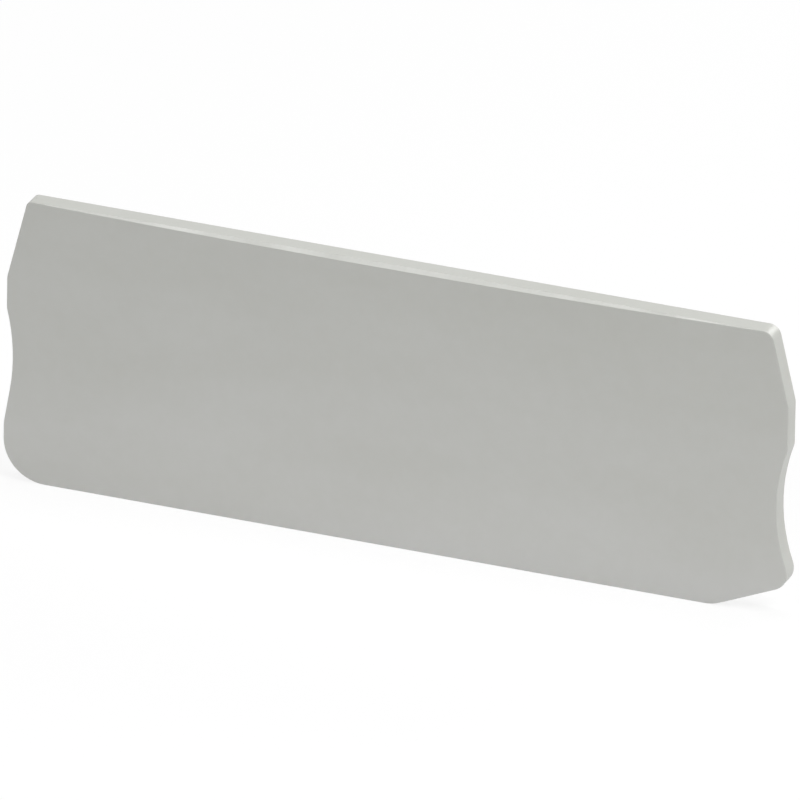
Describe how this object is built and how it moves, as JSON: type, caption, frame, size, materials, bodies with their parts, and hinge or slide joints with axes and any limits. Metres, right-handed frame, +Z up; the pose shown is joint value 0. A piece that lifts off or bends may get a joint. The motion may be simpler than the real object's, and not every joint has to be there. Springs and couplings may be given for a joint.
{
  "type": "terminal block end cover",
  "caption": "Flat moulded cover that closes the open side of a rail-mounted terminal block, with wavy grip ends, a ribbed back and press-in pegs.",
  "frame": {"origin": "middle of the length on the seat plane at the back, level with the bottom edge", "axes": "+X along the length towards the chamfered end, +Y out of the back the way the pegs point, +Z up towards the long top edge"},
  "size_m": [0.087, 0.0048, 0.0318],
  "materials": {
    "moulded_grey": "satin"
  },
  "bodies": {
    "root": {"end_cover": "moulded_grey"}
  },
  "joints": []
}
